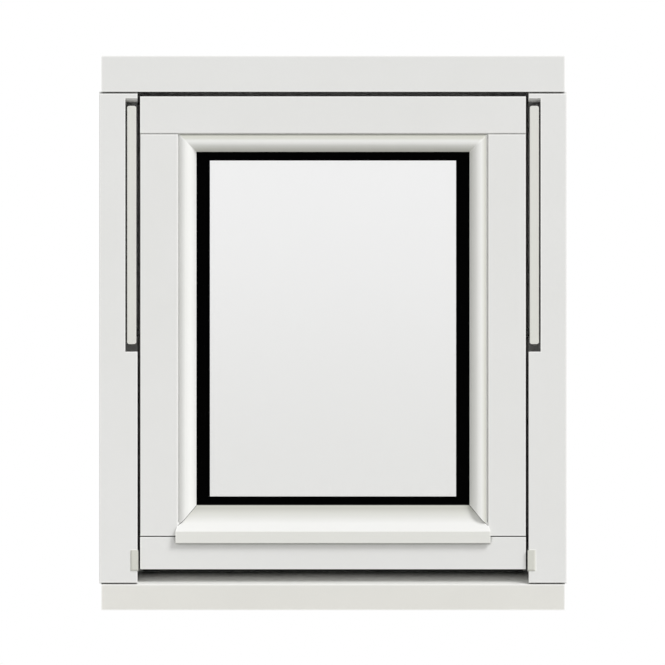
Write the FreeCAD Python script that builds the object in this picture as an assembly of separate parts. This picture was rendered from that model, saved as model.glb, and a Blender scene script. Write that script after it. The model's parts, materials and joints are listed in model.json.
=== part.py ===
"""Centre pivot window: a painted timber sash on two pivot arms in a painted timber frame.

Millimetres. +X is to the right seen from outdoors, +Y points indoors, +Z is up.
The origin is the middle of the sill's underside.
"""

import FreeCAD
import Part
import math
import os

# Frame
frame_width = 600.0
frame_height = 712.0
frame_depth = 105.0
head_face = 46.4
jamb_face = 49.0
sill_face = 33.0
end_setback = 2.5        # the head and sill end this far inside the jambs' outer faces
frame_arris = 1.2        # rounding of the frame's long edges
head_drip_arris = 0.6    # rounding of the head's lower edge, outdoors
head_joint = 2.3         # shadow groove where the jambs meet the head
head_joint_depth = 9.0
head_joint_bevel = 0.6   # bevel on the jamb's edge of that groove
sill_joint = 0.9         # shadow groove where the jambs meet the sill
sill_joint_depth = 6.0
sill_joint_bevel = 0.3
sill_rise = 17.0         # the sill's weathered top climbs this much from its front edge
sill_throat = 3.0        # radius of the drip groove under the sill
throat_setback = 16.0    # drip groove behind the sill's front face
stop_overlap = 12.0      # the frame's stop covers this much of the sash's back

# Sash
side_gap = 3.5           # sash to jamb
head_gap = 5.9           # sash to head
sill_gap = 19.7          # sash to the sill's front edge, seen from outdoors
sash_setback = 2.5       # sash face behind frame face
sash_thickness = 60.0
stile_face = 48.4
top_rail_face = 47.4
bottom_rail_face = 41.5
sash_arris = 1.2
sash_foot_arris = 0.6    # rounding under the bottom rail, outdoors
rail_groove = 1.4        # shadow groove where the stiles meet the rails
rail_bevel = 0.3         # bevel on the stile's edge of that groove
top_rail_joint = 2.5     # depth of the groove under the top rail
bottom_rail_joint = 12.0 # depth of the groove over the bottom rail
seal_gap = 3.0           # sash back to the frame's stop, filled by the weather seal
seal_width = 8.0
sill_seal_width = 14.5   # the seal is deeper along the sill

# Glazing
bead_face = 23.8         # width of the moulded bead, seen from outdoors
bead_quirk = 3.8         # sunk line along the bead's outer edge, below the sash face
bead_quirk_width = 0.8
bead_crown = 1.2         # bead's crown above the sash face
bead_flank_run = 5.8     # from the bead's outer edge to where its flank meets the crown
bead_crown_run = 12.5    # to where the crown bends down
bead_shoulder_run = 18.8 # to where the slope steepens
bead_shoulder = 3.0      # that bend below the sash face
bead_round = 30.0        # the bends are as round as their sides allow, up to this radius
bead_glass_edge = 2.0    # bead's thickness at the glass
inside_leg = 18.0        # sash timber behind the glass
leg_round = 6.0          # rounding of the leg's indoor edge
tape = 3.0               # rubber on each side of the glass
pane = 4.0
cavity = 16.0
glass_cover = 13.0       # glass hidden behind the bead
rubber_side = 17.3       # black rubber seen beside the glass
rubber_end = 11.2        # black rubber seen over and under the glass
inner_lip = 4.0          # rubber seen from indoors
spacer_sight = 10.0      # spacer bar seen from indoors, past the sight line

# Drip bead under the glass
drip_top = 40.8          # its top above the bottom rail's joint line
drip_bottom = 8.2        # its underside below that line
drip_nose = 15.2         # height of its front face
drip_reach = 6.5         # its front face ahead of the sash face
drip_hollow = 12.0       # its hollow top falls steeply to this far above the nose
drip_hollow_run = 8.0    # and this far ahead of the glass rubber
drip_hollow_round = 40.0
drip_end = 3.15          # each end of the nose past the side bead
drip_corner = 9.6        # height of the slanting cut at each end of the nose
drip_groove = 2.0        # radius of the groove under the nose
bead_joint = 0.8         # open joint where the side beads stand on the drip bead
bead_joint_depth = 4.0
mitre_run = 17.4         # the side beads' slanting feet: width and height from the glass corner
mitre_drop = 20.5
mitre_foot = 25.7        # height of the foot at the bead's outer edge
rail_climb = 17.0        # the bottom rail's top climbs this much under the bead

# Pivot arms, let into the upper half of the jambs
slot_width = 15.6
slot_depth = 44.0
slot_below_head = 8.0
slot_run_out = 5.5       # length of the bevel at the slot's top
slot_run_depth = 14.0
arm_top_clearance = 4.5  # arm to the bevel over it
arm_foot_clearance = 9.8 # arm to the slot's foot
arm_width = 11.9
arm_depth = 24.0
arm_setback = 1.5        # arm face behind frame face
arm_side_clearance = 2.2
arm_corner = 3.0
arm_arris = 1.0
pin_to_arm_end = 14.4
pin_radius = 4.0
pin_in_timber = 18.0
pin_clearance = 0.3      # pin to its hole, all round

# Keeper blocks at the foot of the jambs
keeper_width = 10.1
keeper_height = 26.8
keeper_depth = 24.0
keeper_proud = 2.0
keeper_into_gap = 1.1
keeper_above_sill = 17.4
keeper_round = 2.6

# Handle indoors, on the bottom rail
plate_width = 28.0
plate_height = 58.0
plate_thickness = 9.0
plate_round = 6.0
plate_arris = 2.5
neck_radius = 8.0
neck_length = 24.0
grip_length = 112.0
grip_height = 20.0
grip_thickness = 13.0
grip_round = 6.0
grip_end_round = 9.0
handle_below_leg = 6.0   # plate's top edge below the leg's top

# Fixing holes through the jambs
hole_radius = 4.0
hole_low = 150.0
hole_high = 560.0
hole_from_back = 19.5

# Places worked out from the sizes
front = -frame_depth / 2
back = frame_depth / 2
half_frame = frame_width / 2
half_head = half_frame - end_setback
jamb_inner = half_frame - jamb_face
half_sash = jamb_inner - side_gap
head_under = frame_height - head_face
sash_top = head_under - head_gap
sash_bottom = sill_face + sill_gap
sash_middle = (sash_top + sash_bottom) / 2
sash_front = front + sash_setback
sash_back = sash_front + sash_thickness
stop_face = sash_back + seal_gap
stop_side = half_sash - stop_overlap
stop_head = sash_top - stop_overlap
stop_sill = sash_bottom + stop_overlap
sill_back = sill_face + sill_rise

rebate_side = half_sash - stile_face
rebate_top = sash_top - top_rail_face
rail_top = sash_bottom + bottom_rail_face
sight_side = rebate_side - bead_face
sight_top = rebate_top - bead_face
sight_bottom = rail_top + drip_top
leg_front = sash_back - inside_leg
inner_pane_front = leg_front - tape - pane
outer_pane_back = inner_pane_front - cavity
outer_pane_front = outer_pane_back - pane
bead_back = outer_pane_front - tape
glass_side = sight_side + glass_cover
glass_top = sight_top + glass_cover
glass_bottom = sight_bottom - glass_cover
nose_front = sash_front - drip_reach
nose_under = rail_top - drip_bottom
nose_top = nose_under + drip_nose
half_nose = rebate_side + drip_end

slot_top = head_under - slot_below_head
arm_outer = jamb_inner + slot_width - arm_side_clearance
arm_inner = arm_outer - arm_width
arm_front = front + arm_setback
arm_bottom = sash_middle - pin_to_arm_end
arm_top = slot_top - slot_run_out - arm_top_clearance
slot_bottom = arm_bottom - arm_foot_clearance
upper_pin = arm_top - pin_to_arm_end
pin_hole = pin_radius + pin_clearance
pin_depth = arm_front + arm_depth / 2

plate_top = sight_bottom - handle_below_leg
plate_middle = plate_top - plate_height / 2
neck_start = sash_back + plate_thickness
grip_start = neck_start + neck_length

LEFT = -1
RIGHT = 1
SIDES = (("left", LEFT), ("right", RIGHT))
OVERSIZE = 2 * frame_height   # long enough to cut right through
TOUCHING = 1e-6               # points nearer than this are one point
ROUND_RATIO = 0.49            # most of a side that one round corner may take, as a share


def outline(points, place):
    """A closed face from (a, b) or (a, b, radius) corners, with round corners as arcs."""
    count = len(points)
    corners = []
    for i in range(count):
        corner = FreeCAD.Vector(points[i][0], points[i][1], 0)
        radius = points[i][2] if len(points[i]) > 2 else 0.0
        if radius <= 0:
            corners.append((corner, None, corner))
            continue
        before = FreeCAD.Vector(points[i - 1][0], points[i - 1][1], 0) - corner
        after = FreeCAD.Vector(points[(i + 1) % count][0], points[(i + 1) % count][1], 0) - corner
        room = ROUND_RATIO * min(before.Length, after.Length)
        before.normalize()
        after.normalize()
        half = before.getAngle(after) / 2
        run = min(radius / math.tan(half), room)
        radius = run * math.tan(half)
        inward = before + after
        inward.normalize()
        middle = corner + inward * (radius / math.sin(half) - radius)
        corners.append((corner + before * run, middle, corner + after * run))
    edges = []
    for i in range(count):
        arrive, middle, leave = corners[i]
        if middle is not None:
            edges.append(Part.Arc(place(arrive), place(middle), place(leave)).toShape())
        following = corners[(i + 1) % count][0]
        if (following - leave).Length > TOUCHING:
            edges.append(Part.LineSegment(place(leave), place(following)).toShape())
    return Part.Face(Part.Wire(edges))


def along_x(points, x0, x1):
    """A (y, z) section drawn out along X."""
    face = outline(points, lambda p: FreeCAD.Vector(x0, p.x, p.y))
    return face.extrude(FreeCAD.Vector(x1 - x0, 0, 0))


def along_y(points, y0, y1):
    """An (x, z) section drawn out along Y."""
    face = outline(points, lambda p: FreeCAD.Vector(p.x, y0, p.y))
    return face.extrude(FreeCAD.Vector(0, y1 - y0, 0))


def along_z(points, z0, z1):
    """An (x, y) section drawn out along Z."""
    face = outline(points, lambda p: FreeCAD.Vector(p.x, p.y, z0))
    return face.extrude(FreeCAD.Vector(0, 0, z1 - z0))


def block(x0, x1, y0, y1, z0, z1):
    low = FreeCAD.Vector(min(x0, x1), y0, z0)
    return Part.makeBox(abs(x1 - x0), y1 - y0, z1 - z0, low)


def rod_x(x0, x1, y, z, radius):
    start = FreeCAD.Vector(min(x0, x1), y, z)
    return Part.makeCylinder(radius, abs(x1 - x0), start, FreeCAD.Vector(1, 0, 0))


def ring(half_outer, top_outer, bottom_outer, half_inner, top_inner, bottom_inner, y0, y1):
    """A rectangular ring standing in the plane of the glass."""
    outer = block(-half_outer, half_outer, y0, y1, bottom_outer, top_outer)
    return outer.cut(block(-half_inner, half_inner, y0, y1, bottom_inner, top_inner))


def shadow_groove(face, level, way, width, depth, bevel):
    """A groove into a face from a joint at a level, up (1) or down (-1), with its far edge bevelled."""
    far = level + way * width
    section = [
        (face, level),
        (face, far + way * bevel),
        (face + bevel, far),
        (face + depth, far),
        (face + depth, level),
    ]
    return along_x(section, -OVERSIZE, OVERSIZE)


def frame_head():
    """The head runs over the jambs, with the stop as its indoor lower part."""
    section = [
        (front, frame_height, frame_arris),
        (front, head_under, head_drip_arris),
        (stop_face, head_under),
        (stop_face, stop_head, frame_arris),
        (back, stop_head, frame_arris),
        (back, frame_height, frame_arris),
    ]
    return along_x(section, -half_head, half_head)


def frame_sill():
    """The sill slopes up from its front edge to the stop."""
    section = [
        (front, 0),
        (front, sill_face, frame_arris),
        (stop_face, sill_back),
        (stop_face, stop_sill, frame_arris),
        (back, stop_sill, frame_arris),
        (back, 0),
    ]
    throat = rod_x(-half_frame, half_frame, front + throat_setback, 0, sill_throat)
    return along_x(section, -half_head, half_head).cut(throat)


def arm_slot(side):
    """The slot that the arm lies in, open to the front and towards the sash, with a bevelled top."""
    floor = front + slot_depth
    ramp = front + slot_run_depth
    section = [
        (front - slot_depth, slot_top),
        (front, slot_top),
        (ramp, slot_top - slot_run_out),
        (floor, slot_top - slot_run_out),
        (floor, slot_bottom),
        (front - slot_depth, slot_bottom),
    ]
    return along_x(section, side * jamb_inner, side * (jamb_inner + slot_width))


def keeper(side):
    """The block let into the foot of the jamb, which guides the closing sash."""
    inner = side * (jamb_inner - keeper_into_gap)
    outer = inner + side * keeper_width
    low = sill_face + keeper_above_sill
    high = low + keeper_height
    face = front - keeper_proud
    plan = [
        (inner, face),
        (outer, face, keeper_round),
        (outer, face + keeper_depth),
        (inner, face + keeper_depth),
    ]
    elevation = [
        (face, high),
        (face, low, keeper_round),
        (face + keeper_depth, low),
        (face + keeper_depth, high),
    ]
    return along_z(plan, low, high).common(along_x(elevation, -OVERSIZE, OVERSIZE))


def frame_jamb(side):
    """A jamb between the sill and the head, cut to their sections, with its slot and holes."""
    section = [
        (side * half_frame, front, frame_arris),
        (side * jamb_inner, front, frame_arris),
        (side * jamb_inner, stop_face),
        (side * stop_side, stop_face, frame_arris),
        (side * stop_side, back, frame_arris),
        (side * half_frame, back, frame_arris),
    ]
    shape = along_z(section, 0, frame_height)
    under_head = along_x(
        [(front, frame_height), (front, head_under), (stop_face, head_under),
         (stop_face, stop_head), (back, stop_head), (back, frame_height)],
        -OVERSIZE, OVERSIZE)
    over_sill = along_x(
        [(front, 0), (front, sill_face), (stop_face, sill_back),
         (stop_face, stop_sill), (back, stop_sill), (back, 0)],
        -OVERSIZE, OVERSIZE)
    shape = shape.cut(under_head).cut(over_sill)
    shape = shape.cut(shadow_groove(front, head_under, -1, head_joint, head_joint_depth, head_joint_bevel))
    sill_climb = sill_rise * sill_joint_depth / (stop_face - front)
    sill_groove = sill_climb + sill_joint
    shape = shape.cut(shadow_groove(front, sill_face, 1, sill_groove, sill_joint_depth, sill_joint_bevel))
    shape = shape.cut(arm_slot(side)).cut(keeper(side))
    for height in (hole_low, hole_high):
        shape = shape.cut(rod_x(0, side * OVERSIZE, back - hole_from_back, height, hole_radius))
    return shape.cut(upper_arm_pin(side, pin_hole))


def pivot_arm(side):
    """A flat bar that carries the sash at its lower end and hangs from the jamb at its upper end."""
    inner = side * arm_inner
    outer = side * arm_outer
    elevation = [
        (inner, arm_bottom, arm_corner),
        (outer, arm_bottom, arm_corner),
        (outer, arm_top, arm_corner),
        (inner, arm_top, arm_corner),
    ]
    plan = [
        (inner, arm_front, arm_arris),
        (outer, arm_front, arm_arris),
        (outer, arm_front + arm_depth),
        (inner, arm_front + arm_depth),
    ]
    shape = along_y(elevation, arm_front, arm_front + arm_depth).common(along_z(plan, -OVERSIZE, OVERSIZE))
    return shape.cut(upper_arm_pin(side, pin_hole)).cut(sash_pin(side, pin_hole))


def upper_arm_pin(side, radius):
    """The pin that hangs the arm from the jamb."""
    outer = side * (jamb_inner + slot_width + pin_in_timber)
    return rod_x(side * arm_inner, outer, pin_depth, upper_pin, radius)


def sash_pin(side, radius):
    """The pivot that carries the sash, half way up, from the arm into the stile."""
    inner = side * (half_sash - pin_in_timber)
    return rod_x(inner, side * arm_outer, pin_depth, sash_middle, radius)


def weather_seal():
    """Rubber between the sash's back and the frame's stop, all round."""
    seal_side = stop_side + seal_width
    seal_top = stop_head + seal_width
    seal_bottom = stop_sill - sill_seal_width
    return ring(seal_side, seal_top, seal_bottom, stop_side, stop_head, stop_sill, sash_back, stop_face)


def sash_stile(side):
    """A stile between the rails: full thickness outside the glass, with a leg behind it."""
    section = [
        (side * half_sash, sash_front, sash_arris),
        (side * rebate_side, sash_front, sash_arris),
        (side * rebate_side, leg_front),
        (side * sight_side, leg_front),
        (side * sight_side, sash_back, leg_round),
        (side * half_sash, sash_back, sash_arris),
    ]
    shape = along_z(section, rail_top, rebate_top)
    shape = shape.cut(shadow_groove(sash_front, rail_top, 1, rail_groove, bottom_rail_joint, rail_bevel))
    shape = shape.cut(shadow_groove(sash_front, rebate_top, -1, rail_groove, top_rail_joint, rail_bevel))
    return shape.cut(sash_pin(side, pin_hole))


def sash_top_rail():
    """The top rail runs over the stiles, with its leg between theirs."""
    bar = along_x(
        [(sash_front, sash_top, sash_arris), (sash_front, rebate_top, sash_arris),
         (sash_back, rebate_top), (sash_back, sash_top, sash_arris)],
        -half_sash, half_sash)
    leg = along_x(
        [(leg_front, rebate_top), (leg_front, sight_top),
         (sash_back, sight_top, leg_round), (sash_back, rebate_top)],
        -sight_side, sight_side)
    return bar.fuse(leg).removeSplitter()


def sash_bottom_rail():
    """The bottom rail, bevelled under the drip bead, with its leg between the stiles'."""
    bar = along_x(
        [(sash_front, sash_bottom, sash_foot_arris), (sash_front, rail_top),
         (sash_back, rail_top), (sash_back, sash_bottom, sash_arris)],
        -half_sash, half_sash)
    bevel = along_x(
        [(sash_front, rail_top), (bead_back, rail_top + rail_climb),
         (leg_front, rail_top + rail_climb), (leg_front, rail_top)],
        -rebate_side, rebate_side)
    leg = along_x(
        [(leg_front, rail_top), (leg_front, sight_bottom),
         (sash_back, sight_bottom, leg_round), (sash_back, rail_top)],
        -sight_side, sight_side)
    return bar.fuse([bevel, leg]).removeSplitter()


def bead_section():
    """The bead as (distance from its outer edge, depth): a quirk, a round crown and a slope to the glass."""
    quirk = sash_front + bead_quirk
    crown = sash_front - bead_crown
    edge = bead_back - bead_glass_edge
    return [
        (0, bead_back),
        (0, quirk),
        (bead_quirk_width, quirk),
        (bead_flank_run, crown, bead_round),
        (bead_crown_run, crown, bead_round),
        (bead_shoulder_run, sash_front + bead_shoulder, bead_round),
        (bead_face, edge),
        (bead_face, bead_back),
    ]


def drip_top_line():
    """The drip bead's hollow top as (depth, height), from the glass to the nose."""
    return [
        (bead_back, sight_bottom),
        (bead_back - drip_hollow_run, nose_top + drip_hollow, drip_hollow_round),
        (nose_front, nose_top),
    ]


def drip_section():
    """The drip bead as (depth, height): a hollow slope from the glass to a square nose."""
    return drip_top_line() + [
        (nose_front, nose_under, sash_arris),
        (sash_front, nose_under),
        (sash_front, rail_top),
        (bead_back, rail_top + rail_climb),
    ]


def foot_line(side):
    """The slanting foot of a side bead as (across, height), from the glass corner to the outer edge."""
    return [
        (side * sight_side, sight_bottom),
        (side * (sight_side + mitre_run), sight_bottom - mitre_drop),
        (side * rebate_side, sight_bottom - mitre_foot),
    ]


def drip_bead():
    """The bead under the glass, with its nose over the bottom rail and a groove under the nose."""
    shape = along_x(drip_section(), -half_nose, half_nose)
    under_joint = along_x(drip_section(), -half_nose, half_nose)
    under_joint.translate(FreeCAD.Vector(0, bead_joint_depth, 0))
    for side in (LEFT, RIGHT):
        joint = [(x, z - bead_joint) for x, z in reversed(foot_line(side))]
        seam = along_y(foot_line(side) + joint, -OVERSIZE, OVERSIZE)
        shape = shape.cut(seam.cut(under_joint))
        end = block(side * rebate_side, side * OVERSIZE, sash_front, back, sash_bottom, sash_top)
        corner = along_y(
            [(side * half_nose, nose_top), (side * half_nose, sash_top),
             (side * rebate_side, sash_top), (side * rebate_side, nose_top + drip_corner)],
            -OVERSIZE, sash_front)
        shape = shape.cut(end).cut(corner)
    groove_line = sash_front - drip_reach / 2
    groove = rod_x(-OVERSIZE, OVERSIZE, groove_line, nose_under, drip_groove)
    return shape.cut(groove)


def side_bead(side):
    """A bead beside the glass, mitred at the top and standing on the drip bead."""
    section = [(side * (rebate_side - p[0]),) + tuple(p[1:]) for p in bead_section()]
    shape = along_z(section, rail_top, rebate_top)
    above_mitre = along_y(
        [(side * rebate_side, rebate_top), (side * (rebate_side - OVERSIZE), rebate_top - OVERSIZE),
         (side * (rebate_side - OVERSIZE), rebate_top)],
        -OVERSIZE, OVERSIZE)
    under_slope = along_x(
        drip_top_line() + [(nose_front, sash_bottom), (bead_back, sash_bottom)],
        -OVERSIZE, OVERSIZE)
    under_slope.translate(FreeCAD.Vector(0, 0, bead_joint))
    under_foot = along_y(
        foot_line(side) + [(side * rebate_side, sash_bottom), (side * sight_side, sash_bottom)],
        -OVERSIZE, OVERSIZE)
    return shape.cut(above_mitre).cut(under_slope).cut(under_foot)


def top_bead():
    """The bead over the glass, mitred at both ends."""
    section = [(p[1], rebate_top - p[0]) + tuple(p[2:]) for p in bead_section()]
    shape = along_x(section, -rebate_side, rebate_side)
    for side in (LEFT, RIGHT):
        below_mitre = along_y(
            [(side * rebate_side, rebate_top), (side * (rebate_side - OVERSIZE), rebate_top - OVERSIZE),
             (side * rebate_side, rebate_top - OVERSIZE)],
            -OVERSIZE, OVERSIZE)
        shape = shape.cut(below_mitre)
    return shape


def pane_sheet(y0):
    return block(-glass_side, glass_side, y0, y0 + pane, glass_bottom, glass_top)


def outer_rubber():
    """The black rubber in front of the glass, wide enough to show all round."""
    return ring(glass_side, glass_top, glass_bottom,
                sight_side - rubber_side, sight_top - rubber_end, sight_bottom + rubber_end,
                bead_back, outer_pane_front)


def inner_rubber():
    """The rubber behind the glass, with a narrow lip past the sight line."""
    return ring(glass_side, glass_top, glass_bottom,
                sight_side - inner_lip, sight_top - inner_lip, sight_bottom + inner_lip,
                leg_front - tape, leg_front)


def spacer_bar():
    """The sealed spacer bar between the panes."""
    return ring(glass_side, glass_top, glass_bottom,
                sight_side - spacer_sight, sight_top - spacer_sight, sight_bottom + spacer_sight,
                outer_pane_back, inner_pane_front)


def handle_plate():
    """The handle's back plate on the bottom rail."""
    half = plate_width / 2
    plate_foot = plate_top - plate_height
    elevation = [
        (-half, plate_foot, plate_round),
        (half, plate_foot, plate_round),
        (half, plate_top, plate_round),
        (-half, plate_top, plate_round),
    ]
    plan = [
        (-half, sash_back),
        (half, sash_back),
        (half, neck_start, plate_arris),
        (-half, neck_start, plate_arris),
    ]
    return along_y(elevation, sash_back, neck_start).common(along_z(plan, -OVERSIZE, OVERSIZE))


def handle_neck():
    """The handle's round neck, from the plate to the grip."""
    start = FreeCAD.Vector(0, neck_start, plate_middle)
    return Part.makeCylinder(neck_radius, neck_length, start, FreeCAD.Vector(0, 1, 0))


def handle_grip():
    """The handle's grip, lying level."""
    half = grip_height / 2
    low = plate_middle - half
    high = plate_middle + half
    grip_end = grip_start + grip_thickness
    elevation = [
        (-half, low, grip_end_round),
        (grip_length - half, low, grip_end_round),
        (grip_length - half, high, grip_end_round),
        (-half, high, grip_end_round),
    ]
    section = [
        (grip_start, low, grip_round),
        (grip_end, low, grip_round),
        (grip_end, high, grip_round),
        (grip_start, high, grip_round),
    ]
    return along_y(elevation, grip_start, grip_end).common(along_x(section, -OVERSIZE, OVERSIZE))


def build():
    """Every piece of the window, by node name."""
    pieces = {
        "frame_head": frame_head(),
        "frame_sill": frame_sill(),
        "frame_weather_seal": weather_seal(),
        "sash_top_rail": sash_top_rail(),
        "sash_bottom_rail": sash_bottom_rail(),
        "top_glazing_bead": top_bead(),
        "bottom_drip_bead": drip_bead(),
        "outer_pane": pane_sheet(outer_pane_front),
        "inner_pane": pane_sheet(inner_pane_front),
        "spacer_bar": spacer_bar(),
        "outer_glazing_rubber": outer_rubber(),
        "inner_glazing_rubber": inner_rubber(),
        "handle_plate": handle_plate(),
        "handle_neck": handle_neck(),
        "handle_grip": handle_grip(),
    }
    for name, side in SIDES:
        pieces["frame_%s_jamb" % name] = frame_jamb(side)
        pieces["%s_pivot_arm" % name] = pivot_arm(side)
        pieces["%s_arm_pin" % name] = upper_arm_pin(side, pin_radius)
        pieces["%s_sash_pivot" % name] = sash_pin(side, pin_radius)
        pieces["%s_keeper" % name] = keeper(side)
        pieces["sash_%s_stile" % name] = sash_stile(side)
        pieces["%s_glazing_bead" % name] = side_bead(side)
    return pieces


def main():
    os.makedirs("parts", exist_ok=True)
    for name, shape in build().items():
        solids = shape.Solids
        print(name, len(solids), shape.isValid(), round(shape.Volume / 1000, 1))
        solid = solids[0] if len(solids) == 1 else shape
        solid.exportStep("parts/%s.step" % name)


main()
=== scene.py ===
"""Looks for the centre pivot window: painted timber, coated steel arms, black rubber and clear glass."""

import json
import math

import bmesh
import bpy
from mathutils import Matrix, Vector


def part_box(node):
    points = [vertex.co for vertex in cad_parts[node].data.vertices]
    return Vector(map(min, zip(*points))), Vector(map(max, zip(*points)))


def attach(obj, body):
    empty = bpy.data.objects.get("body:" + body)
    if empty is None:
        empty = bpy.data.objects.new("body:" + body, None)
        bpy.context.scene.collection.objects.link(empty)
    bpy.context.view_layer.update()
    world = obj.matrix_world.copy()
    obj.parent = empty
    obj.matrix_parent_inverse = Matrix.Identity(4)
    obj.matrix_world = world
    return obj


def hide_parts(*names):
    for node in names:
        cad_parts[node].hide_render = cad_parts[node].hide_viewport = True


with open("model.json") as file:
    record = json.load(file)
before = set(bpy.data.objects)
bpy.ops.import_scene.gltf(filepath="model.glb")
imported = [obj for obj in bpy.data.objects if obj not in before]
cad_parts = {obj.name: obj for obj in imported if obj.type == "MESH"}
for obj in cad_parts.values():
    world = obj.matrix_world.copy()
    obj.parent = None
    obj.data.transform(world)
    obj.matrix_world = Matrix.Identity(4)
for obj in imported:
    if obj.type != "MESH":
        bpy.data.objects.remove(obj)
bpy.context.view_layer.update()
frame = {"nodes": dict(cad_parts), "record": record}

MM = 0.001
ACROSS, UP = 0, 2        # the X and Z axes, as places in a vector

# Light: the sky's share, a soft key from the upper right in front, and a weak fill from behind
SKY_LEVEL = 0.63
KEY_LEVEL = 1.9
KEY_SOFTNESS = math.radians(22)
KEY_FROM = (0.52, -0.46, 0.66)
FILL_LEVEL = 0.6
FILL_SOFTNESS = math.radians(60)
FILL_FROM = (-0.5, 0.8, 0.3)
FLOOR_HALF = 15.0
FLOOR_BELOW = 0.5 * MM

# The photograph's frame: pixels, the size of a pixel, and where the origin falls in it
IMAGE_PIXELS = 665
PIXEL = 1.2837 * MM
ORIGIN_COLUMN = 333.0
ORIGIN_ROW = 610.3
CAMERA_AWAY = 3.0

# Paint: brush marks are about 0.5 mm wide, and are drawn coarser so that they show
BRUSH_MARK = 1.6 * MM
STROKE_LENGTH = 70 * MM
STROKE_DETAIL = 4.0
STROKE_BREAKUP = 0.6
STROKE_RELIEF = 0.05 * MM
STROKE_BUMP = 0.25
PAINT_ROUGHNESS = (0.3, 0.42)
PAINT_IOR = 1.5
PATCH = 90 * MM
PATCH_DETAIL = 2.0
RAY_SAMPLES = 8

# Edges: where rounding turns the surface away from its true side, the paint goes from its own tone to a
# paler painted highlight
EDGE_WIDTH = 3.0 * MM
EDGE_LIKENESS = (0.995, 0.955)
EDGE_HIGHLIGHT = "F7F7F5"

# Upward faces: how far a face looks up, where the paler tone, painted light from above, starts and where
# it is full
LOOKING_UP = (0.4, 0.8)

# Painted shade in hollows and corners: how open a spot is, where the shade starts and where it is deepest
HOLLOW_REACH = 12 * MM
DEEP_HOLLOW_SHADE = (0.3, 0.08)
CORNER_SHADE = (0.7, 0.42)
HOLLOW_SHADE = "3C3C37"
HOLLOW_SHADE_COVER = 0.85

# Painted shade on a bead, from its high side to its low side: the share of the way, and the tone
# multiplied in there
DEEP_SHADE, MID_SHADE, LIGHT_SHADE, FAINT_SHADE, NO_SHADE = "C6C6BF", "DBDBD4", "EAEAE6", "F7F7F4", "FFFFFF"
UNDER_GLASS_SHADE = ((0, DEEP_SHADE), (0.22, LIGHT_SHADE), (0.47, NO_SHADE), (0.68, NO_SHADE), (0.7, FAINT_SHADE), (1, FAINT_SHADE))
TOP_BEAD_SHADE = ((0, NO_SHADE), (0.1, DEEP_SHADE), (0.15, MID_SHADE), (0.26, MID_SHADE),
                  (0.41, NO_SHADE), (0.55, NO_SHADE), (1, MID_SHADE))
RIGHT_BEAD_SHADE = ((0, NO_SHADE), (0.07, NO_SHADE), (0.14, MID_SHADE), (0.38, NO_SHADE), (1, FAINT_SHADE))

# Coatings and mouldings: the spread of their gloss, and the deepest tone of their drift.
# Their real grain is 0.1 to 0.3 mm, and is drawn coarser so that it shows
GLOSS_SPREAD = 0.06
DRIFT = 0.94
SPECKLE_DETAIL = 3.0
SPECKLE_BUMP = 0.3

# Glass: its tint at the top and at the bottom, darker lower down, a painted reflection of the sky
GLASS_IOR = 1.52
REFLECTION_AT_TOP = "F7F7F7"
REFLECTION_AT_BOTTOM = "F0F0EF"

# Meshes: points this near are one, sharper folds than this stay crisp,
# an edge with this share of its direction on an axis is along it, and a point this near a face is in it
MERGE = 0.001 * MM
CRISP = math.radians(35)
ALONG_AXIS = 0.9
IN_FACE = 0.01 * MM

# Handle plate, indoors
PLATE_CORNER = 6.0 * MM
PLATE_CORNER_STEPS = 8
PLATE_RIM = 2.2 * MM
PLATE_RIM_STEPS = 5

# Screws in the plate
SCREW_FROM_MIDDLE = 20.5 * MM
SCREW_HEAD = 3.8 * MM
SCREW_RISE = 0.9 * MM
SCREW_SIDES = 24
RECESS = 2.3 * MM
RECESS_SLOT = 1.1 * MM
RECESS_DEPTH = 0.7 * MM
RECESS_DRAFT = 0.12 * MM

# Handle neck: shares of the collar's height and radius, and of the neck's length
COLLAR_RADIUS = 11.5 * MM
COLLAR_HEIGHT = 2.5 * MM
COLLAR_SIDE = 0.7
COLLAR_TOP = 0.94
COLLAR_FOOT = 1.2
WAIST_RADIUS = 7.2 * MM
WAIST_FROM = 0.35
WAIST_TO = 0.7
NECK_STEPS = 40

# Handle lever: its width and depth at the free end, and its rounding
LEVER_TAPER = 0.72
LEVER_TAPER_POWER = 1.5
LEVER_EASE = 0.25
LEVER_CUTS = 9
LEVER_ROUND = 5.2 * MM
LEVER_ROUND_STEPS = 6
LEVER_FOLD = math.radians(50)

# Rubber and spacer sections: a round corner is cut once, at this share of its radius
CORNER_CUT = 0.3
LIP_ROUND = 1.5 * MM
RIB_AT = 3.4 * MM
RIB_SUNK = 0.5 * MM
SPACER_ROUND = 1.2 * MM
SPACER_CHANNEL = 5.0 * MM
SPACER_CHANNEL_DEPTH = 0.6 * MM
HEIGHT_DIGITS = 5        # heights in metres are told apart to a hundredth of a millimetre

# The colour sockets of a mixing node, by place
MIX_UNDER, MIX_OVER, MIXED = 6, 7, 2


def linear(code):
    """An sRGB hex colour as linear RGBA."""
    channels = [int(code[i:i + 2], 16) / 255 for i in (0, 2, 4)]
    return [c / 12.92 if c <= 0.04045 else ((c + 0.055) / 1.055) ** 2.4 for c in channels] + [1.0]


def add_node(tree, kind, settings=None, links=None):
    """One node with its properties and sockets set and its inputs linked."""
    made = tree.nodes.new(kind)
    for key, value in (settings or {}).items():
        if isinstance(key, int) or key in made.inputs:
            made.inputs[key].default_value = value
        else:
            setattr(made, key, value)
    for socket, source in (links or {}).items():
        tree.links.new(source, made.inputs[socket])
    return made


def new_material(name):
    """An empty node material with its output node."""
    material = bpy.data.materials.new(name)
    material.use_nodes = True
    material.node_tree.nodes.clear()
    output = add_node(material.node_tree, "ShaderNodeOutputMaterial")
    return material, material.node_tree, output


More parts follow.
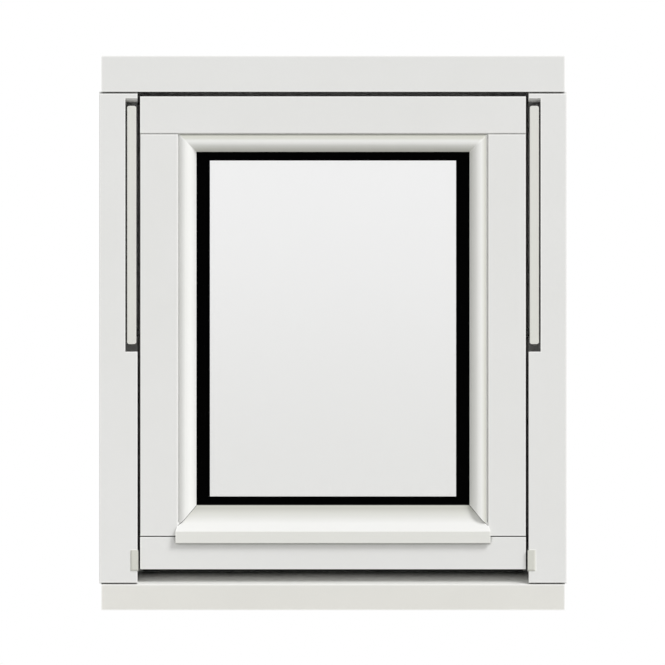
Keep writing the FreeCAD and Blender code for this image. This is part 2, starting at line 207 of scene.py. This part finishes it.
def painted_timber(name, along, pale, deep, top_light=None, bead_shade=None, hollow_shade_limits=DEEP_HOLLOW_SHADE):
    """Satin white paint, brushed on planed pine.

    The eye gets an even off-white with faint patches, brush marks along the grain in the gloss,
    and paler lines along the edges, a painted highlight.
    Faces that look up may take a paler tone, painted light from above.
    Painted shade, as a node, an axis and tones, darkens a bead in bands beside the glass and in the sunk
    lines.
    Painted shade darkens the hollows and corners, where little open air is seen.
    """
    material, tree, output = new_material(name)
    place = add_node(tree, "ShaderNodeTexCoord")
    side = add_node(tree, "ShaderNodeNewGeometry")

    patches = add_node(tree, "ShaderNodeTexNoise", {"Scale": 1 / PATCH, "Detail": PATCH_DETAIL},
                       {"Vector": place.outputs["Object"]})
    tone = add_node(tree, "ShaderNodeValToRGB", {}, {"Fac": patches.outputs["Fac"]})
    tone.color_ramp.elements[0].color = linear(deep)
    tone.color_ramp.elements[1].color = linear(pale)
    colour = tone.outputs["Color"]

    # Painted light: faces that look up take a paler tone
    if top_light is not None:
        facing = add_node(tree, "ShaderNodeSeparateXYZ", {}, {"Vector": side.outputs["Normal"]})
        upward = add_node(tree, "ShaderNodeMapRange",
                          {"From Min": LOOKING_UP[0], "From Max": LOOKING_UP[1]},
                          {"Value": facing.outputs["Z"]})
        top_lit = add_node(tree, "ShaderNodeMix", {"data_type": "RGBA", MIX_OVER: linear(top_light)},
                           {"Factor": upward.outputs["Result"], MIX_UNDER: colour})
        colour = top_lit.outputs[MIXED]

    # Painted highlight: a paler tone along the rounded edges
    rounded = add_node(tree, "ShaderNodeBevel", {"Radius": EDGE_WIDTH, "samples": RAY_SAMPLES})
    likeness = add_node(tree, "ShaderNodeVectorMath", {"operation": "DOT_PRODUCT"},
                        {0: side.outputs["Normal"], 1: rounded.outputs["Normal"]})
    edge = add_node(tree, "ShaderNodeMapRange",
                    {"From Min": EDGE_LIKENESS[0], "From Max": EDGE_LIKENESS[1]},
                    {"Value": likeness.outputs["Value"]})
    edge_lit = add_node(tree, "ShaderNodeMix", {"data_type": "RGBA", MIX_OVER: linear(EDGE_HIGHLIGHT)},
                    {"Factor": edge.outputs["Result"], MIX_UNDER: colour})
    colour = edge_lit.outputs[MIXED]

    # Painted shade: a ramp of darker tones across a bead, multiplied into the paint
    if bead_shade is not None:
        node, axis, tones = bead_shade
        low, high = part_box(node)
        spot = add_node(tree, "ShaderNodeSeparateXYZ", {}, {"Vector": place.outputs["Object"]})
        share = add_node(tree, "ShaderNodeMapRange", {"From Min": high[axis], "From Max": low[axis]},
                         {"Value": spot.outputs[axis]})
        painted_ramp = add_node(tree, "ShaderNodeValToRGB", {}, {"Fac": share.outputs["Result"]})
        painted_ramp.color_ramp.elements[0].color = linear(tones[0][1])
        painted_ramp.color_ramp.elements[1].color = linear(tones[-1][1])
        for at, code in tones[1:-1]:
            painted_ramp.color_ramp.elements.new(at).color = linear(code)
        bead_shaded = add_node(tree, "ShaderNodeMix",
                          {"data_type": "RGBA", "blend_type": "MULTIPLY", "Factor": 1.0},
                          {MIX_UNDER: colour, MIX_OVER: painted_ramp.outputs["Color"]})
        colour = bead_shaded.outputs[MIXED]

    # Painted shade: a darker tone in hollows and corners, by how much open air each spot sees
    hollow = add_node(tree, "ShaderNodeAmbientOcclusion",
                      {"Distance": HOLLOW_REACH, "samples": RAY_SAMPLES})
    shade_amount = add_node(tree, "ShaderNodeMapRange",
                     {"From Min": hollow_shade_limits[0], "From Max": hollow_shade_limits[1], "To Max": HOLLOW_SHADE_COVER},
                     {"Value": hollow.outputs["AO"]})
    hollow_shaded = add_node(tree, "ShaderNodeMix", {"data_type": "RGBA", MIX_OVER: linear(HOLLOW_SHADE)},
                     {"Factor": shade_amount.outputs["Result"], MIX_UNDER: colour})
    colour = hollow_shaded.outputs[MIXED]

    scale = [1 / BRUSH_MARK] * 3
    scale[along] = 1 / STROKE_LENGTH
    stretch = add_node(tree, "ShaderNodeMapping", {"Scale": scale}, {"Vector": place.outputs["Object"]})
    strokes = add_node(tree, "ShaderNodeTexNoise",
                       {"Scale": 1.0, "Detail": STROKE_DETAIL, "Roughness": STROKE_BREAKUP},
                       {"Vector": stretch.outputs["Vector"]})
    gloss = add_node(tree, "ShaderNodeMapRange",
                     {"To Min": PAINT_ROUGHNESS[0], "To Max": PAINT_ROUGHNESS[1]},
                     {"Value": strokes.outputs["Fac"]})
    relief = add_node(tree, "ShaderNodeBump", {"Strength": STROKE_BUMP, "Distance": STROKE_RELIEF},
                      {"Height": strokes.outputs["Fac"]})
    shader = add_node(tree, "ShaderNodeBsdfPrincipled", {"IOR": PAINT_IOR},
                      {"Base Color": colour, "Roughness": gloss.outputs["Result"],
                       "Normal": relief.outputs["Normal"]})
    tree.links.new(shader.outputs["BSDF"], output.inputs["Surface"])
    return material


def plain_finish(name, code, roughness, grain, relief_depth, metallic=0.0, specular=0.5):
    """A coated or moulded surface: a colour that drifts slightly, and a fine grain in gloss and relief."""
    material, tree, output = new_material(name)
    place = add_node(tree, "ShaderNodeTexCoord")
    speckle = add_node(tree, "ShaderNodeTexNoise", {"Scale": 1 / grain, "Detail": SPECKLE_DETAIL},
                       {"Vector": place.outputs["Object"]})
    drift = add_node(tree, "ShaderNodeTexNoise", {"Scale": 1 / PATCH, "Detail": PATCH_DETAIL},
                     {"Vector": place.outputs["Object"]})
    tone = add_node(tree, "ShaderNodeValToRGB", {}, {"Fac": drift.outputs["Fac"]})
    colour = linear(code)
    tone.color_ramp.elements[0].color = [DRIFT * c for c in colour[:3]] + [1.0]
    tone.color_ramp.elements[1].color = colour
    gloss = add_node(tree, "ShaderNodeMapRange",
                     {"To Min": roughness - GLOSS_SPREAD, "To Max": roughness + GLOSS_SPREAD},
                     {"Value": speckle.outputs["Fac"]})
    relief = add_node(tree, "ShaderNodeBump", {"Strength": SPECKLE_BUMP, "Distance": relief_depth},
                      {"Height": speckle.outputs["Fac"]})
    shader = add_node(tree, "ShaderNodeBsdfPrincipled",
                      {"Metallic": metallic, "Specular IOR Level": specular},
                      {"Base Color": tone.outputs["Color"], "Roughness": gloss.outputs["Result"],
                       "Normal": relief.outputs["Normal"]})
    tree.links.new(shader.outputs["BSDF"], output.inputs["Surface"])
    return material


def float_glass():
    """Coated float glass: see-through, with sharp reflections and a tint that darkens towards the bottom,
    a painted reflection of the sky.
    """
    material, tree, output = new_material("coated float glass")
    place = add_node(tree, "ShaderNodeTexCoord")
    height = add_node(tree, "ShaderNodeSeparateXYZ", {}, {"Vector": place.outputs["Object"]})
    # Painted reflection: the tint darkens from the top of the pane to its bottom
    low, high = (corner[UP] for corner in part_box("outer_pane"))
    fall = add_node(tree, "ShaderNodeMapRange",
                    {"From Min": high, "From Max": low, "interpolation_type": "SMOOTHSTEP"},
                    {"Value": height.outputs["Z"]})
    painted_ramp = add_node(tree, "ShaderNodeValToRGB", {}, {"Fac": fall.outputs["Result"]})
    painted_ramp.color_ramp.elements[0].color = linear(REFLECTION_AT_TOP)
    painted_ramp.color_ramp.elements[1].color = linear(REFLECTION_AT_BOTTOM)
    shader = add_node(tree, "ShaderNodeBsdfPrincipled",
                      {"Roughness": 0.0, "IOR": GLASS_IOR, "Transmission Weight": 1.0},
                      {"Base Color": painted_ramp.outputs["Color"]})
    tree.links.new(shader.outputs["BSDF"], output.inputs["Surface"])
    return material


# Paint on the jambs and stiles: even off-white, brushed up and down
UPRIGHT = painted_timber("satin white paint on upright pine", UP, "E7E7E6", "E3E3E1")

# Paint on the head and the top rail: the same off-white, brushed from side to side
LEVEL = painted_timber("satin white paint on level pine", ACROSS, "E7E7E6", "E3E3E1")

# Paint on the bottom rail: the same, with a dark line of painted shade in the corner under the drip nose
UNDER_NOSE = painted_timber("satin white paint under the drip nose", ACROSS, "E7E7E6", "E3E3E1",
                            hollow_shade_limits=CORNER_SHADE)

# Paint on the drip bead: paler than the rest, a painted highlight on its upward slope, with painted shade
# at the glass and a little on the nose
DRIP_BEAD_SHADED = painted_timber("satin white paint under the glass", ACROSS, "ECECEA", "E9E9E7",
                          bead_shade=("bottom_drip_bead", UP, UNDER_GLASS_SHADE))

# Paint on the top bead: paler than the rest, a painted highlight on the crown, with painted shade in the
# sunk line over it and at the glass
TOP_BEAD = painted_timber("satin white paint over the glass", ACROSS, "F1F1EF", "EDEDEA",
                          bead_shade=("top_glazing_bead", UP, TOP_BEAD_SHADE))

# Paint on the left bead: the palest of all, a painted highlight on its inner slope
LEFT_BEAD = painted_timber("satin white paint on the left bead", UP, "F2F2F0", "EEEEEB")

# Paint on the right bead: paler than the rest, a painted highlight on the crown, with painted shade on its
# outer flank and a little at the glass
RIGHT_BEAD = painted_timber("satin white paint on the right bead", UP, "F1F1EF", "EDEDEA",
                            bead_shade=("right_glazing_bead", ACROSS, RIGHT_BEAD_SHADE))

# Paint on the sill: weathered to a warmer grey in front, and paler on faces that look up, painted light
# from above
WEATHERED_AND_TOP_LIT = painted_timber("satin white paint on the weathered sill", ACROSS, "E5E4DF", "E1E0DB",
                           top_light="F6F6F3")

# Powder coat on the arms: warmer than the paint, with a soft sheen broken by a faint orange peel
ARM_COAT = plain_finish("off-white powder coat on steel", "E0E0DA", roughness=0.4, grain=0.8 * MM,
                        relief_depth=0.02 * MM)

# Blackened pins: dark metal with a dull gleam, deep in the slots
DARK_STEEL = plain_finish("blackened steel", "3A3A3A", roughness=0.45, grain=0.6 * MM,
                          relief_depth=0.01 * MM, metallic=1.0)

# Keeper blocks: a smooth, slightly yellow white that is darker than the paint
KEEPER_PLASTIC = plain_finish("moulded acetal", "D5D5CD", roughness=0.42, grain=0.5 * MM,
                              relief_depth=0.02 * MM)

# Glazing rubber: a deep, dull black that hardly reflects
RUBBER = plain_finish("extruded black rubber", "020202", roughness=0.7, grain=0.4 * MM,
                      relief_depth=0.02 * MM, specular=0.01)

# Weather seal: dull grey, seen only in the gaps round the sash
SEAL = plain_finish("grey rubber weather seal", "4A4A47", roughness=0.7, grain=0.4 * MM,
                    relief_depth=0.02 * MM, specular=0.15)

# Spacer between the panes: black with a faint gleam through the glass
SPACER = plain_finish("black spacer plastic", "0A0A0A", roughness=0.6, grain=0.4 * MM,
                      relief_depth=0.02 * MM, specular=0.15)

# Handle: brighter and smoother than the paint, so that it stands out from the rail
HANDLE_COAT = plain_finish("white powder coat on die-cast zinc", "F0F0EF", roughness=0.28, grain=0.9 * MM,
                           relief_depth=0.03 * MM)

# Floor: pale, matt and even
FLOOR_PAPER = plain_finish("matt white studio paper", "D8D8D6", roughness=0.8, grain=2 * MM,
                           relief_depth=0.02 * MM, specular=0.1)

# Panes: clear, a little darker towards the bottom, a painted reflection of the sky
GLASS = float_glass()

FINISH_OF_NODE = {
    "frame_left_jamb": UPRIGHT,
    "frame_right_jamb": UPRIGHT,
    "frame_sill": WEATHERED_AND_TOP_LIT,
    "frame_weather_seal": SEAL,
    "sash_left_stile": UPRIGHT,
    "sash_right_stile": UPRIGHT,
    "sash_bottom_rail": UNDER_NOSE,
    "top_glazing_bead": TOP_BEAD,
    "left_glazing_bead": LEFT_BEAD,
    "right_glazing_bead": RIGHT_BEAD,
    "bottom_drip_bead": DRIP_BEAD_SHADED,
}
FINISH_OF_SLOT = {
    "painted_timber": LEVEL,
    "arm_metal": ARM_COAT,
    "pin_steel": DARK_STEEL,
    "keeper_plastic": KEEPER_PLASTIC,
    "black_rubber": RUBBER,
    "clear_glass": GLASS,
    "spacer_black": SPACER,
    "handle_metal": HANDLE_COAT,
}


def finish_nodes():
    """Give every carried-over solid its finish."""
    for part in frame["record"]["subparts"]:
        name = part["node"]
        finish = FINISH_OF_NODE.get(name, FINISH_OF_SLOT[part["material_slot"]])
        for slot in frame["nodes"][name].material_slots:
            slot.material = finish


def keep_piece(shape, name, finish, slot, *nodes):
    """Turn a finished bmesh into a piece of the window, standing for some nodes."""
    bmesh.ops.remove_doubles(shape, verts=shape.verts, dist=MERGE)
    bmesh.ops.recalc_face_normals(shape, faces=shape.faces)
    mesh = bpy.data.meshes.new(name)
    for face in shape.faces:
        face.smooth = True
    shape.to_mesh(mesh)
    shape.free()
    mesh.set_sharp_from_angle(angle=CRISP)
    mesh.materials.append(finish)
    piece = bpy.data.objects.new(name, mesh)
    bpy.context.collection.objects.link(piece)
    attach(piece, "root")
    if nodes:
        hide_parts(*nodes)


def block_of(node):
    """A block that fills a node's box."""
    low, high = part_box(node)
    shape = bmesh.new()
    place = Matrix.Translation((low + high) / 2) @ Matrix.Diagonal((high - low).to_4d())
    bmesh.ops.create_cube(shape, size=1.0, matrix=place)
    return shape, low, high


def edge_way(edge):
    """The direction of an edge."""
    return (edge.verts[0].co - edge.verts[1].co).normalized()


def handle_plate():
    """The handle's back plate, with round corners and a rounded rim."""
    shape, _, high = block_of("handle_plate")
    corners = [edge for edge in shape.edges if abs(edge_way(edge).y) > ALONG_AXIS]
    bmesh.ops.bevel(shape, geom=corners, offset=PLATE_CORNER, affect="EDGES",
                    segments=PLATE_CORNER_STEPS, profile=0.5, material=-1)
    rim = [edge for edge in shape.edges if all(vert.co.y > high.y - IN_FACE for vert in edge.verts)]
    bmesh.ops.bevel(shape, geom=rim, offset=PLATE_RIM, affect="EDGES",
                    segments=PLATE_RIM_STEPS, profile=0.5, material=-1)
    keep_piece(shape, "handle_cast_plate", HANDLE_COAT, "handle_metal", "handle_plate")


def handle_screws():
    """Two raised screws in the plate, each with a cross recess."""
    low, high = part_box("handle_plate")
    middle = (low + high) / 2
    shape = bmesh.new()
    for way in (-1, 1):
        centre = Vector((middle.x, high.y, middle.z + way * SCREW_FROM_MIDDLE))
        face_indoors = Matrix.Translation(centre) @ Matrix.Rotation(math.radians(-90), 4, "X")
        ring = bmesh.ops.create_circle(shape, cap_ends=True, segments=SCREW_SIDES, radius=SCREW_HEAD,
                                       matrix=face_indoors)
        crown = ring["verts"][0].link_faces[0]
        bmesh.ops.inset_region(shape, faces=[crown], use_boundary=True, use_even_offset=True,
                               thickness=SCREW_RISE, depth=SCREW_RISE)
        bmesh.ops.inset_region(shape, faces=[crown], use_even_offset=True,
                               thickness=SCREW_HEAD - SCREW_RISE - RECESS)
        cut = [crown, *crown.edges, *crown.verts]
        for across in (Vector((1, 0, 0)), Vector((0, 0, 1))):
            for edge in (-RECESS_SLOT / 2, RECESS_SLOT / 2):
                cut = bmesh.ops.bisect_plane(shape, geom=cut, dist=MERGE,
                                             plane_co=centre + across * edge, plane_no=across)["geom"]
        cross = []
        for face in (part for part in cut if isinstance(part, bmesh.types.BMFace)):
            offset = face.calc_center_median() - centre
            if min(abs(offset.x), abs(offset.z)) < RECESS_SLOT / 2:
                cross.append(face)
        bmesh.ops.inset_region(shape, faces=cross, use_even_offset=True,
                               thickness=RECESS_DRAFT, depth=-RECESS_DEPTH)
    bmesh.ops.holes_fill(shape, edges=shape.edges)
    keep_piece(shape, "handle_screws", HANDLE_COAT, "handle_metal")


def handle_neck():
    """The turned neck: a collar on the plate, a waist, and a flare into the lever."""
    low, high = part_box("handle_neck")
    axis = (low + high) / 2
    full = (high.x - low.x) / 2
    length = high.y - low.y
    profile = [
        (0, 0),
        (COLLAR_RADIUS, 0),
        (COLLAR_RADIUS, COLLAR_HEIGHT * COLLAR_SIDE),
        (COLLAR_RADIUS * COLLAR_TOP, COLLAR_HEIGHT),
        (full, COLLAR_HEIGHT * COLLAR_FOOT),
        (WAIST_RADIUS, length * WAIST_FROM),
        (WAIST_RADIUS, length * WAIST_TO),
        (full, length),
        (0, length),
    ]
    shape = bmesh.new()
    points = [shape.verts.new((axis.x + radius, low.y + along, axis.z)) for radius, along in profile]
    edges = [shape.edges.new(pair) for pair in zip(points, points[1:])]
    bmesh.ops.spin(shape, geom=points + edges, cent=(axis.x, low.y, axis.z), axis=(0, 1, 0),
                   angle=2 * math.pi, steps=NECK_STEPS, use_merge=True)
    keep_piece(shape, "handle_turned_neck", HANDLE_COAT, "handle_metal", "handle_neck")


def handle_lever():
    """The lever: full at the neck, then narrower, and thinner on the sash's side, towards its free end."""
    shape, low, high = block_of("handle_grip")
    middle = (low + high) / 2
    long_edges = [edge for edge in shape.edges if abs(edge_way(edge).x) > ALONG_AXIS]
    bmesh.ops.subdivide_edges(shape, edges=long_edges, cuts=LEVER_CUTS)
    for vert in shape.verts:
        share = (vert.co.x - low.x) / (high.x - low.x)
        width = 1 - (1 - LEVER_TAPER) * share ** LEVER_TAPER_POWER
        vert.co.z = middle.z + (vert.co.z - middle.z) * width
        vert.co.y = high.y - (high.y - vert.co.y) * (1 - LEVER_EASE * share)
    rim = [edge for edge in shape.edges if edge.is_manifold and edge.calc_face_angle(0) > LEVER_FOLD]
    bmesh.ops.bevel(shape, geom=rim, offset=LEVER_ROUND, affect="EDGES",
                    segments=LEVER_ROUND_STEPS, profile=0.5, material=-1)
    keep_piece(shape, "handle_lever", HANDLE_COAT, "handle_metal", "handle_grip")


def ring_sides(node):
    """A rectangular ring's inner half width, bottom and top, its front and back, and its band's width."""
    spots = [vert.co for vert in frame["nodes"][node].data.vertices]
    heights = sorted({round(spot.z, HEIGHT_DIGITS) for spot in spots})
    half = min(abs(spot.x) for spot in spots)
    low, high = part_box(node)
    return half, heights[1], heights[-2], low.y, high.y, high.z - heights[-2]


def mitred_ring(section, half, bottom, top):
    """A section of (outwards, depth) corners run round an opening, mitred at its corners."""
    shape = bmesh.new()
    loops = []
    for side, level, way in ((-1, bottom, -1), (1, bottom, -1), (1, top, 1), (-1, top, 1)):
        ring = [shape.verts.new((side * (half + out), depth, level + way * out)) for out, depth in section]
        loops.append([shape.edges.new((ring[i - 1], ring[i])) for i in range(len(ring))])
    for i in range(len(loops)):
        bmesh.ops.bridge_loops(shape, edges=loops[i - 1] + loops[i])
    return shape


def lip_section(near, far, width):
    """A rubber strip from its shown face to the glass, with a round lip and a sunk line beside it."""
    into = 1 if far > near else -1
    return [
        (0, far),
        (0, near + into * LIP_ROUND),
        (LIP_ROUND * CORNER_CUT, near + into * LIP_ROUND * CORNER_CUT),
        (LIP_ROUND, near),
        (RIB_AT - RIB_SUNK, near),
        (RIB_AT, near + into * RIB_SUNK),
        (RIB_AT + RIB_SUNK, near),
        (width, near),
        (width, far),
    ]


def glazing_rubbers():
    """The rubber strips on both sides of the glass, each with a round lip."""
    half, bottom, top, front, back, width = ring_sides("outer_glazing_rubber")
    shape = mitred_ring(lip_section(front, back, width), half, bottom, top)
    keep_piece(shape, "outer_rubber_strip", RUBBER, "black_rubber", "outer_glazing_rubber")
    half, bottom, top, front, back, width = ring_sides("inner_glazing_rubber")
    shape = mitred_ring(lip_section(back, front, width), half, bottom, top)
    keep_piece(shape, "inner_rubber_strip", RUBBER, "black_rubber", "inner_glazing_rubber")


def spacer():
    """The spacer bar between the panes: round shoulders and a sunk channel along its middle."""
    half, bottom, top, front, back, width = ring_sides("spacer_bar")
    middle = (front + back) / 2
    edge = SPACER_CHANNEL / 2
    section = [
        (width, front),
        (SPACER_ROUND, front),
        (SPACER_ROUND * CORNER_CUT, front + SPACER_ROUND * CORNER_CUT),
        (0, front + SPACER_ROUND),
        (0, middle - edge),
        (SPACER_CHANNEL_DEPTH, middle - edge + SPACER_CHANNEL_DEPTH),
        (SPACER_CHANNEL_DEPTH, middle + edge - SPACER_CHANNEL_DEPTH),
        (0, middle + edge),
        (0, back - SPACER_ROUND),
        (SPACER_ROUND * CORNER_CUT, back - SPACER_ROUND * CORNER_CUT),
        (SPACER_ROUND, back),
        (width, back),
    ]
    shape = mitred_ring(section, half, bottom, top)
    keep_piece(shape, "spacer_channel", SPACER, "spacer_black", "spacer_bar")


def sun(name, level, softness, source):
    """A soft distant light from a direction, which lights the paint and leaves no glint on it."""
    light = bpy.data.lights.new(name, "SUN")
    light.energy = level
    light.angle = softness
    lamp = bpy.data.objects.new(name, light)
    bpy.context.collection.objects.link(lamp)
    lamp.rotation_euler = Vector(source).to_track_quat("Z", "Y").to_euler()
    lamp.visible_glossy = False


def studio():
    """A pale floor, a soft key, a weak fill and a white background."""
    world = bpy.data.worlds.new("studio")
    bpy.context.scene.world = world
    world.use_nodes = True
    tree = world.node_tree
    tree.nodes.clear()
    path = add_node(tree, "ShaderNodeLightPath")
    mirrored = add_node(tree, "ShaderNodeMath", {"operation": "MAXIMUM"},
                        {0: path.outputs["Is Camera Ray"], 1: path.outputs["Is Glossy Ray"]})
    seen = add_node(tree, "ShaderNodeMath", {"operation": "MAXIMUM"},
                    {0: mirrored.outputs["Value"], 1: path.outputs["Is Transmission Ray"]})
    strength = add_node(tree, "ShaderNodeMapRange", {"To Min": SKY_LEVEL, "To Max": 1.0},
                        {"Value": seen.outputs["Value"]})
    background = add_node(tree, "ShaderNodeBackground", {"Color": (1, 1, 1, 1)},
                          {"Strength": strength.outputs["Result"]})
    output = add_node(tree, "ShaderNodeOutputWorld")
    tree.links.new(background.outputs["Background"], output.inputs["Surface"])
    sun("key", KEY_LEVEL, KEY_SOFTNESS, KEY_FROM)
    sun("fill", FILL_LEVEL, FILL_SOFTNESS, FILL_FROM)

    mesh = bpy.data.meshes.new("floor")
    shape = bmesh.new()
    bmesh.ops.create_grid(shape, x_segments=1, y_segments=1, size=FLOOR_HALF)
    bmesh.ops.translate(shape, verts=shape.verts, vec=(0, 0, -FLOOR_BELOW))
    shape.to_mesh(mesh)
    shape.free()
    mesh.materials.append(FLOOR_PAPER)
    floor = bpy.data.objects.new("floor", mesh)
    bpy.context.collection.objects.link(floor)


def camera():
    """A straight-on elevation at the photograph's scale."""
    data = bpy.data.cameras.new("camera")
    data.type = "ORTHO"
    data.ortho_scale = IMAGE_PIXELS * PIXEL
    view = bpy.data.objects.new("camera", data)
    bpy.context.collection.objects.link(view)
    middle = IMAGE_PIXELS / 2
    view.location = ((middle - ORIGIN_COLUMN) * PIXEL, -CAMERA_AWAY, (ORIGIN_ROW - middle) * PIXEL)
    view.rotation_euler = (math.radians(90), 0, 0)
    bpy.context.scene.camera = view


finish_nodes()
handle_plate()
handle_screws()
handle_neck()
handle_lever()
glazing_rubbers()
spacer()
studio()
camera()
bpy.context.scene.view_settings.view_transform = "Standard"
